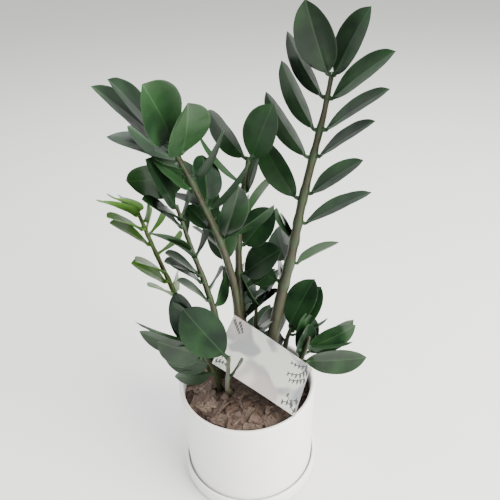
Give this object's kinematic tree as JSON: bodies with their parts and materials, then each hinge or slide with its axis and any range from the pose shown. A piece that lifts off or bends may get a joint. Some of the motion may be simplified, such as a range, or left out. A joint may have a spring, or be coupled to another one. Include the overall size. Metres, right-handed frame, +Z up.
{
  "type": "potted zz plant",
  "caption": "Upright house plant with fleshy glossy leaflets on arching stems, in a round glazed pot with a saucer.",
  "frame": {"origin": "centre of the saucer's flat underside, on the surface the plant stands on", "axes": "+Z up, +X to the plant's right, -Y to its front, where the card and the low front leaf are"},
  "size_m": [0.2316, 0.1605, 0.4758],
  "materials": {
    "white_glaze": "smooth white satin glaze",
    "soil": "dark damp peat with brown bark chips",
    "card": "matt pale grey card",
    "stalk": "smooth grey-green flesh with faint dark flecks",
    "leaf": "glossy waxy dark green",
    "young_leaf": "glossy waxy light green"
  },
  "bodies": {
    "root": {"card": "card", "leaflet_front_1": "leaf", "leaflet_front_2": "leaf", "leaflet_low_left_1": "leaf", "leaflet_low_left_2": "leaf", "leaflet_low_left_3": "leaf", "leaflet_low_left_4": "leaf", "leaflet_low_right_1": "leaf", "leaflet_low_right_2": "leaf", "leaflet_low_right_3": "leaf", "leaflet_low_right_4": "leaf", "leaflet_slim_left_5": "leaf", "leaflet_tall_left_6": "leaf", "leaflet_tall_left_7": "leaf", "leaflet_tall_right_8": "leaf", "leaflet_young_left_1": "young_leaf", "leaflet_young_left_2": "young_leaf", "leaflets_centre_1": "leaf", "leaflets_centre_2": "leaf", "leaflets_centre_3": "leaf", "leaflets_centre_4": "leaf", "leaflets_centre_5": "leaf", "leaflets_low_left_5": "leaf", "leaflets_short_centre_1": "leaf", "leaflets_short_right_1": "leaf", "leaflets_short_right_2": "leaf", "leaflets_slim_left_1": "leaf", "leaflets_slim_left_2": "leaf", "leaflets_slim_left_3": "leaf", "leaflets_slim_left_4": "leaf", "leaflets_slim_left_6": "leaf", "leaflets_tall_left_1": "leaf", "leaflets_tall_left_2": "leaf", "leaflets_tall_left_3": "leaf", "leaflets_tall_left_4": "leaf", "leaflets_tall_left_5": "leaf", "leaflets_tall_right_1": "leaf", "leaflets_tall_right_2": "leaf", "leaflets_tall_right_3": "leaf", "leaflets_tall_right_4": "leaf", "leaflets_tall_right_5": "leaf", "leaflets_tall_right_6": "leaf", "leaflets_tall_right_7": "leaf", "leaflets_young_left_3": "young_leaf", "leaflets_young_left_4": "young_leaf", "leaflets_young_left_5": "young_leaf", "leaflets_young_left_6": "young_leaf", "pot": "white_glaze", "saucer": "white_glaze", "soil": "soil", "stem_centre": "stalk", "stem_front": "stalk", "stem_low_left": "stalk", "stem_low_right": "stalk", "stem_short_centre": "stalk", "stem_short_right": "stalk", "stem_slim_left": "stalk", "stem_tall_left": "stalk", "stem_tall_right": "stalk", "stem_young_left": "stalk"}
  },
  "joints": []
}
